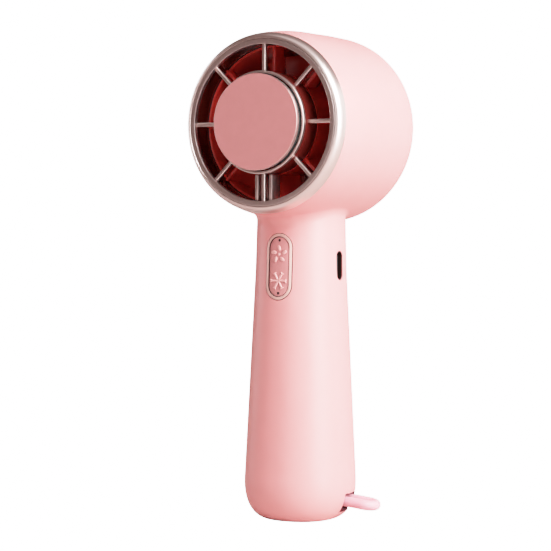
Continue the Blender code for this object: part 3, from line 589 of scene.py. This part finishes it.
def make_housing():
    edge = 0.35
    front = [(0.0, FRONT_F)]
    front += [(barrel_radius(FRONT_F) - edge + x, FRONT_F - edge + y) for x, y in arc((0, 0), edge, 90, 0, 4)]
    body = [(barrel_radius(f), f) for f in [21.0 - i for i in range(36)]]
    rear_f = dome_f(REAR_OPENING_R)
    levels = [DOME_F + (rear_f - DOME_F) * math.sin(math.pi / 2 * i / 24) for i in range(1, 25)]
    dome = [(barrel_radius(f), f) for f in levels]
    shell = turned("housing_shell", front + body + dome + [(0.0, rear_f)], FINE, HEAD)
    join(shell, handle_column("column"))
    bore = [(0.0, 24.0), (BORE_R, 24.0), (BORE_R, -19.0), (25.6, -22.5), (24.0, -24.7)]
    bore += [(REAR_OPENING_R - 1.6, -26.4), (REAR_OPENING_R - 1.6, -30.0), (0.0, -30.0)]
    cut(
        shell,
        turned("bore", bore, MEDIUM, HEAD),
        turned("seat", [(0, -30.0), (REAR_OPENING_R - 0.4, -30.0), (REAR_OPENING_R - 0.4, rear_f + 1.4),
                        (0, rear_f + 1.4)], FINE, HEAD),
        handle_core("cavity", CAVITY_FLOOR, CAVITY_TOP, HANDLE_WALL, 72),
    )
    walls = box("pocket_walls", (5.6, -2.8, 0.9), (16.0, 11.2, 10.5))
    join(shell, trim(walls, handle_core("foot_limit", 0.5, 20.0, 0.8, 72)))
    mouth = soften(box("loop_mouth", (12.9, -1.1, 3.0), (22.0, 9.5, 8.9)), 0.35, 3)
    cut(
        shell,
        mouth,
        box("loop_pocket", (PIN_X - 4.6, -1.1, 3.0), (13.4, 9.5, 9.35)),
        prism("port_hole", stadium(PORT_W + 0.6, PORT_H + 0.2), 8.0, 20.0, PORT),
        prism("bezel_hole", stadium(BEZEL_W + 0.4, BEZEL_H + 0.4), -4.5, 4.0, BUTTON),
    )
    weigh = shell.modifiers.new("Weighted", "WEIGHTED_NORMAL")
    weigh.keep_sharp = True
    weigh.weight = 100
    finish_piece(shell, "fan", "shell_pink", "main_housing")
    paint_pocket(shell)


def make_loop():
    """Silicone wrist loop: one cord bent back on itself, held up near its pin and sagging towards its end."""
    def sag(x):
        return -math.tan(math.radians(2.5)) * x - 0.0035 * x * x

    flat = []
    for t in [math.pi / 2 + math.pi * i / 24 for i in range(25)]:
        flat.append((LOOP_END_R * math.cos(t), LOOP_END_R * math.sin(t)))
    runs = [LOOP_RUN * i / 12 for i in range(1, 12)]
    path = list(flat)
    path += [(x, -LOOP_END_R) for x in runs]
    path += [(LOOP_RUN - x, -y) for x, y in flat]
    path += [(x, LOOP_END_R) for x in reversed(runs)]
    path = [Vector((PIN_X + x, PIN_Y + y, LOOP_Z + sag(x))) for x, y in path]
    rings = []
    count = len(path)
    for i, point in enumerate(path):
        along = (path[(i + 1) % count] - path[i - 1]).normalized()
        side = along.cross(Vector((0, 0, 1))).normalized()
        up = side.cross(along)
        turns = around(24)
        rings.append([point + side * (CORD_R * math.cos(t)) + up * (CORD_R * math.sin(t)) for t in turns])
    finish_piece(lofted("wrist_loop_cord", rings, closed=True), "loop", "cord_pink", "wrist_loop")


# ---------------------------------------------------------------- head


def make_outlet():
    back = high_mm("front_ring").y
    flare = [(26.2, FACE_F), (27.6, 25.05), (RING_R, 22.2)]
    curve = []
    for i in range(13):
        t = i / 12
        weights = ((1 - t) ** 2, 2 * t * (1 - t), t * t)
        curve.append(tuple(sum(w * p[k] for w, p in zip(weights, flare)) for k in (0, 1)))
    profile = [(26.5, 22.2), (26.5, -back), (25.9, -back), (25.9, FACE_F - 0.12), (26.0, FACE_F), *curve]
    outer = turned("outer_ring", profile, FINE, HEAD)
    cut(outer, box("lead_notch", (-2.2, -27.5, -back - 1), (2.2, -25.0, 20.4), HEAD))
    finish_piece(outer, "fan", "satin_silver", "front_ring")

    lip = [(OPENING_R, 23.8), (25.82, 23.8), (25.82, FACE_F), (OPENING_R, FACE_F)]
    grille = turned("outlet_rim_and_spokes", rounded(lip, 0.22), FINE, HEAD)
    hub = rounded([(HUB_IN, 18.3), (HUB_OUT, 18.3), (HUB_OUT, 26.8), (HUB_IN, 26.8)], 0.28)
    climb = next(i for i, (r, f) in enumerate(hub) if f < SLEEVE_F < hub[i + 1][1])
    hub.insert(climb + 1, (HUB_OUT, SLEEVE_F))
    parts = [turned("hub", hub, FINE, HEAD)]
    for turn in around(SPOKE_COUNT):
        bar = box("spoke", (HUB_OUT - 0.3, -0.6, 22.6), (OPENING_R + 0.4, 0.6, 24.05), spun(turn))
        parts.append(soften(bar, 0.28, 3))
    join(grille, *parts)
    cut(grille, box("lead_gate", (-1.9, -HUB_OUT - 0.2, 17.0), (1.9, -HUB_IN + 0.2, 22.3), HEAD))
    finish_piece(grille, "fan", "satin_silver", "outlet_grille")
    # painted shade: hub faces behind SLEEVE_F get the dark red of the shaded duct
    paint_faces(grille, "sleeve_painted_shade", lambda r, f, normal: r < HUB_OUT + 0.02 and f < SLEEVE_F)
    paint_faces(grille, "rim_satin", lambda r, f, normal: r > OPENING_R - 0.02 and f > 24.1)

    outline = [(-3.05, 18.8), (3.05, 18.8), (3.05, 23.7), (1.95, 23.7), (1.95, 19.8), (-1.95, 19.8)]
    outline += [(-1.95, 23.7), (-3.05, 23.7)]
    channel = prism("lead_trough", [(x, -f) for x, f in outline], HEAD_Z - DUCT_R, HEAD_Z - HUB_OUT - 0.05)
    round_end = [(0, 10), (HUB_OUT + 0.1, 10), (HUB_OUT + 0.1, 30), (0, 30)]
    cut(channel, turned("round_end", round_end, FINE, HEAD))
    finish_piece(soften(channel, 0.12, 2), "fan", "satin_silver", "lead_channel")


def make_plate():
    """Cooling plate: matt coloured face inside a bright turned edge."""
    back = -high_mm("cold_plate").y
    profile = [(0.0, back), (PLATE_R, back), (PLATE_R, PLATE_F), (14.45, PLATE_F), (0.0, PLATE_F)]
    plate = turned("cooling_plate", rounded(profile, 0.3, 6), FINE, HEAD)
    finish_piece(plate, "fan", "plate_pink", "cold_plate")
    paint_faces(plate, "plate_edge", lambda r, f, normal: abs(normal.y) < 0.985)


def make_duct():
    wall = [(DUCT_R, -11.0), (25.3, -14.4), (25.7, -14.4), (25.7, 23.4)]
    wall += [(24.9, 23.4), (24.9, 16.5), (DUCT_R, 16.5)]
    duct = turned("duct_and_vanes", rounded(wall, 0.25, 3), FINE, HEAD)
    pod = [(14.7, 4.2), (HUB_OUT, 4.2), (HUB_OUT, 18.0), (14.7, 18.0), (14.7, 14.4), (3.2, 14.4), (3.2, 13.2),
           (14.7, 13.2)]
    parts = [turned("pod", pod, FINE, HEAD)]
    root, tip = HUB_OUT - 0.4, DUCT_R + 0.5
    stations = [(6.0 + 11.9 * i / 10, root, tip, 0.16 * (1 - i / 10) ** 3) for i in range(11)]
    for turn in around(SPOKE_COUNT):
        parts.append(soften(blade("vane", stations, 0.9, spun(turn)), 0.2, 2, 60))
    join(duct, *parts)
    cut(duct, box("lead_gate", (-2.2, -27.0, 18.2), (2.2, -24.4, 24.0), HEAD))
    finish_piece(duct, "fan", "duct_red", "air_duct")
    # painted shade on the collar behind the lip
    paint_faces(duct, "collar_painted_shade", lambda r, f, normal: r > DUCT_R + 0.5 and f > 16.4)


def make_impeller():
    nose = [(1.6, -9.8), (5.0, -9.8), (9.5, -9.0), (12.6, -7.2), (14.3, -4.4), (14.7, -1.0), (14.7, 3.4)]
    nose += [(13.2, 3.4), (13.2, -4.9), (3.6, -4.9), (1.6, -4.9)]
    impeller = turned("turbo_impeller", rounded(nose, 0.5, 3), MEDIUM, HEAD)
    keys = [(-8.6, 12.2, 0.0), (-4.6, 13.8, 0.14), (-0.8, 14.2, 0.36), (2.8, 14.2, 0.66)]
    blades = []
    for turn in around(BLADE_COUNT):
        stations = []
        for i in range(13):
            t = i / 12 * 3
            k = min(int(t), 2)
            share = t - k
            z, root, angle = (a + (b - a) * share for a, b in zip(keys[k], keys[k + 1]))
            stations.append((z, root, 23.3, angle))
        blades.append(soften(blade("blade", stations, 1.0, spun(turn)), 0.25, 2, 60))
    join(impeller, *blades)
    bell = turned("bell_space", [(0, -4.9), (13.2, -4.9), (13.2, 5.0), (0, 5.0)], MEDIUM, HEAD)
    cut(impeller, bell)
    finish_piece(impeller, "rotor", "duct_red", "impeller")


def make_intake():
    """Domed rear grille: a closed middle, fine radial ribs and two hoops."""
    outer_r = REAR_OPENING_R - 0.65

    def dome_band(name, r_in, r_out):
        steps = max(2, round((r_out - r_in) / 0.5))
        radii = [r_in + (r_out - r_in) * i / steps for i in range(steps + 1)]
        skin = [(r, dome_f(r)) for r in radii]
        return turned(name, rounded(skin + [(r, f + 1.3) for r, f in reversed(skin)], 0.2, 2), MEDIUM, HEAD)

    grille = dome_band("rear_intake", 0.0, 4.2)
    parts = [dome_band("hoop", r, r + 1.1) for r in (8.6, 14.0)]
    parts.append(dome_band("hoop", outer_r - 1.3, outer_r))
    for turn in around(INTAKE_RIBS):
        radii = [3.6 + (outer_r - 4.0) * i / 10 for i in range(11)]
        skin = [(r, dome_f(r) + 0.06) for r in radii]
        outline = skin + [(r, f + 1.1) for r, f in reversed(skin)]
        upright = spun(turn) @ Matrix.Rotation(math.radians(90), 4, "X")
        parts.append(prism("rib", outline, -0.35, 0.35, upright))
    join(grille, *parts)
    finish_piece(grille, "fan", "shell_pink", "intake_grille")


# ---------------------------------------------------------------- button and port


def blob(x, y, angle, half_length, half_width, half_height=0.3):
    """A raised soft-edged mark on the button's face, as one part of a merged mesh."""
    place = Matrix.Translation((x, y, -0.12)) @ Matrix.Rotation(angle, 4, "Z")
    return place @ Matrix.Diagonal((half_length, half_width, half_height, 1))


def button_marks():
    """A five-bladed fan above and a six-armed snowflake below."""
    places = []
    for turn in around(5, 90):
        lean = turn + math.radians(20)
        places.append(blob(1.95 * math.cos(turn), FAN_SIGN_Y + 1.95 * math.sin(turn), lean, 0.98, 0.6))
    places.append(blob(0, FAN_SIGN_Y, 0, 0.5, 0.5))
    for turn in around(6):
        c, s = math.cos(turn), math.sin(turn)
        places.append(blob(1.45 * c, SNOWFLAKE_Y + 1.45 * s, turn, 1.55, 0.36))
        for fork in (-0.9, 0.9):
            x = 2.35 * c + 0.3 * math.cos(turn + fork)
            y = SNOWFLAKE_Y + 2.35 * s + 0.3 * math.sin(turn + fork)
            places.append(blob(x, y, turn + fork, 0.5, 0.2, 0.27))
    bm = bmesh.new()
    for place in places:
        bmesh.ops.create_uvsphere(bm, u_segments=24, v_segments=12, radius=1.0, matrix=place)
    return to_object("marks", bm, BUTTON)


def paint_bezel(bezel):
    """Bezel whose pale colour is a painted sheen of its metal, with painted shade along both edges: a dark line
    where its roundings turn away from the handle's skin.
    """
    # the band's pale colour is the painted reflection of its metal
    bezel.data.materials[0] = MATERIALS["bezel_painted_sheen"]
    bezel.data.materials.append(MATERIALS["bezel_edge_painted_shade"])
    for face in bezel.data.polygons:
        x, y, z = face.center / MM
        half = handle_half(z)
        slope_x = math.copysign((abs(x) / half) ** (SQUARENESS - 1), x)
        slope_y = math.copysign((abs(y) / half / DEPTH_RATIO) ** (SQUARENESS - 1), y) / DEPTH_RATIO
        skin = Vector((slope_x, slope_y, HANDLE_TAPER)).normalized()
        # the roundings get the painted shade, the flat band the painted sheen
        face.material_index = 1 if face.normal.dot(skin) < 0.99 else 0


def make_button():
    inner_w, inner_h = BEZEL_W - 2 * BEZEL_RIM, BEZEL_H - 2 * BEZEL_RIM
    bezel = prism("oval_bezel", stadium(BEZEL_W, BEZEL_H), -3.3, 3.0, BUTTON)
    trim(bezel, handle_core("bezel_skin", 60.0, 100.0, -0.12))
    reach = BEZEL_W / 2 - 0.3
    cut(bezel, prism("bezel_space", stadium(inner_w, inner_h), -6.0, 5.0, BUTTON))
    across = BUTTON @ Matrix.Translation((0, 0, -PIVOT_DEPTH * MM)) @ Matrix.Rotation(math.pi / 2, 4, "Y")
    cut(bezel, turned("pivot_hole", [(0, -reach), (0.62, -reach), (0.62, reach), (0, reach)], 24, across))
    finish_piece(soften(bezel, 0.2, 3), "fan", "satin_silver", "button_bezel")
    paint_bezel(bezel)

    cap = stadium(inner_w - 2 * CAP_GAP, inner_h - 2 * CAP_GAP)
    rocker = prism("rocker_cap", cap, -1.5, 3.0, BUTTON)
    trim(rocker, handle_core("rocker_skin", 60.0, 100.0, 0.12))
    soften(rocker, 0.25, 3)
    boss = box("boss", (-2.6, -1.2, -2.9), (2.6, 1.2, -1.2), BUTTON)
    posts = []
    for y in (-POST_Y, POST_Y):
        place = BUTTON @ Matrix.Translation((0, y * MM, 0))
        posts.append(turned("post", [(0, -2.35), (1.0, -2.35), (1.0, -1.2), (0, -1.2)], 32, place))
    join(rocker, boss, *posts)
    cut(rocker, turned("pivot_space", [(0, -5), (0.68, -5), (0.68, 5), (0, 5)], 24, across))
    for y in (-LED_Y, LED_Y):
        place = BUTTON @ Matrix.Translation((0, y * MM, 0))
        cut(rocker, turned("window_hole", [(0, -1.2), (0.5, -1.2), (0.5, 1.0), (0, 1.0)], 32, place))
    marks = button_marks()
    for piece in (rocker, marks):
        piece.data.materials.append(MATERIALS["button_pink"])
        piece.data.materials.append(MATERIALS["button_mark_painted_highlight"])
    # the marks take the lighter material: painted highlight
    marks.data.polygons.foreach_set("material_index", [1] * len(marks.data.polygons))
    union = rocker.modifiers.new("Marks", "BOOLEAN")
    union.operation = "UNION"
    union.solver = "EXACT"
    union.use_self = True
    union.object = marks
    apply_modifiers(rocker)
    smooth(rocker.data)
    bpy.data.objects.remove(marks, do_unlink=True)
    shades = [face.material_index for face in rocker.data.polygons]
    finish_piece(rocker, "button", "button_pink", "rocker_button")
    rocker.data.materials.append(MATERIALS["button_mark_painted_highlight"])
    rocker.data.polygons.foreach_set("material_index", shades)


def make_port():
    shell = prism("port_shell", stadium(PORT_W + 0.5, PORT_H + 0.1), 6.2, 13.8, PORT)
    cut(shell, prism("usb_space", stadium(PORT_W - 0.1, PORT_H - 0.6), 6.9, 14.0, PORT))
    finish_piece(soften(shell, 0.08, 2), "fan", "steel", "usb_shell")
    # painted shade: the steel shell gets a near-black material
    shell.data.materials[0] = MATERIALS["port_painted_shade"]
    tongue = box("port_tongue", (-0.35, -3.3, 7.0), (0.35, 3.3, 13.1), PORT)
    finish_piece(soften(tongue, 0.12, 2), "fan", "switch_black", "usb_tongue")


# ---------------------------------------------------------------- stage, light and camera


def make_stage():
    bm = bmesh.new()
    bmesh.ops.create_grid(bm, x_segments=2, y_segments=2, size=4000)
    floor = to_object("floor", bm)
    tree, bsdf = new_material("floor_white")
    bsdf.inputs["Base Color"].default_value = (0.58, 0.46, 0.44, 1.0)
    bsdf.inputs["Roughness"].default_value = 0.8
    path = node(tree, "ShaderNodeLightPath")
    glow = node(tree, "ShaderNodeEmission", Strength=WHITE_LEVEL)
    mix = node(tree, "ShaderNodeMixShader")
    tree.links.new(path.outputs["Is Camera Ray"], mix.inputs["Fac"])
    tree.links.new(bsdf.outputs["BSDF"], mix.inputs[1])
    tree.links.new(glow.outputs["Emission"], mix.inputs[2])
    tree.links.new(mix.outputs["Shader"], tree.nodes["Material Output"].inputs["Surface"])
    floor.data.materials.append(MATERIALS["floor_white"])


def make_world():
    """White to the camera; a soft studio that is brighter on the port's side to everything else."""
    world = bpy.data.worlds.new("studio")
    bpy.context.scene.world = world
    world.use_nodes = True
    tree = world.node_tree
    tree.nodes.clear()
    out = node(tree, "ShaderNodeOutputWorld")
    coords = node(tree, "ShaderNodeTexCoord")
    split = node(tree, "ShaderNodeSeparateXYZ")
    tree.links.new(coords.outputs["Generated"], split.inputs["Vector"])
    level = node(tree, "ShaderNodeMapRange")
    level.inputs["From Min"].default_value = -1.0
    level.inputs["From Max"].default_value = 1.0
    level.inputs["To Min"].default_value = 0.22
    level.inputs["To Max"].default_value = 0.30
    tree.links.new(split.outputs["X"], level.inputs["Value"])
    studio = node(tree, "ShaderNodeBackground")
    tree.links.new(level.outputs["Result"], studio.inputs["Strength"])
    white = node(tree, "ShaderNodeBackground", Strength=WHITE_LEVEL)
    white.inputs["Color"].default_value = (1, 1, 1, 1)
    studio.inputs["Color"].default_value = (0.90, 0.52, 0.46, 1.0)
    path = node(tree, "ShaderNodeLightPath")
    mix = node(tree, "ShaderNodeMixShader")
    tree.links.new(path.outputs["Is Camera Ray"], mix.inputs["Fac"])
    tree.links.new(studio.outputs["Background"], mix.inputs[1])
    tree.links.new(white.outputs["Background"], mix.inputs[2])
    tree.links.new(mix.outputs["Shader"], out.inputs["Surface"])


def softbox(name, place, aim, width, height, power):
    light = bpy.data.lights.new(name, "AREA")
    light.shape = "RECTANGLE"
    light.size = width * MM
    light.size_y = height * MM
    light.energy = power
    made = bpy.data.objects.new(name, light)
    made.location = Vector(place) * MM
    made.rotation_euler = (Vector(aim) - Vector(place)).to_track_quat("-Z", "Y").to_euler()
    bpy.context.scene.collection.objects.link(made)
    made.visible_camera = False
    return made


def make_lights():
    """Soft boxes round the fan, all facing its middle."""
    middle = Vector((0, 0, 80))
    rig = (  # name, degrees round from the camera's side, degrees up, width, height, power
        ("key_high", 40, 40, 400, 300, 10.5),
        ("key_side", 42, 8, 250, 700, 7.5),
        ("key_wide", 60, 8, 250, 700, 4.2),
        ("side_right", 100, 8, 300, 700, 1.6),
        ("fill_left", -20, 8, 250, 700, 1.2),
        ("rim_left", -115, 6, 200, 700, 2.2),
        ("rim_right", 140, 10, 400, 600, 0.6),
        ("top", 0, 85, 500, 500, 0.6),
    )
    for name, turn, height, width, tall, power in rig:
        turn = math.radians(turn + CAMERA_TURN)
        height = math.radians(height)
        flat = math.cos(height)
        away = Vector((math.sin(turn) * flat, -math.cos(turn) * flat, math.sin(height)))
        softbox(name, middle + away * LIGHT_DISTANCE, middle, width, tall, power)


def make_response():
    """A camera's response: straight in the shadows, with highlights that roll off towards white."""
    view = bpy.context.scene.view_settings
    view.view_transform = "Standard"
    view.look = "None"
    view.use_curve_mapping = True
    mapping = view.curve_mapping
    mapping.white_level = (WHITE_LEVEL, WHITE_LEVEL, WHITE_LEVEL)
    curve = mapping.curves[3]
    steps = 24
    for i in range(1, steps):
        light = 3.4 * (i / steps) ** 1.6
        curve.points.new(light / WHITE_LEVEL, light / math.sqrt(1 + light * light))
    mapping.update()


def make_camera():
    place, aim = Vector(CAMERA_PLACE) * MM, Vector(CAMERA_AIM) * MM
    turn = (aim - place).to_track_quat("-Z", "Y").to_matrix().to_4x4()
    roll = Matrix.Rotation(math.radians(CAMERA_ROLL), 4, "Z")
    data = bpy.data.cameras.new("camera")
    data.sensor_width = 36
    data.lens = LENS
    data.clip_start = 0.01
    data.clip_end = 50
    camera = bpy.data.objects.new("camera", data)
    camera.matrix_world = Matrix.Translation(place) @ turn @ roll
    bpy.context.scene.collection.objects.link(camera)
    bpy.context.scene.camera = camera


make_materials()
paint_frame()
make_housing()
make_loop()
make_outlet()
make_plate()
make_duct()
make_impeller()
make_intake()
make_button()
make_port()
make_stage()
make_world()
make_lights()
make_camera()
make_response()

bpy.context.view_layer.update()
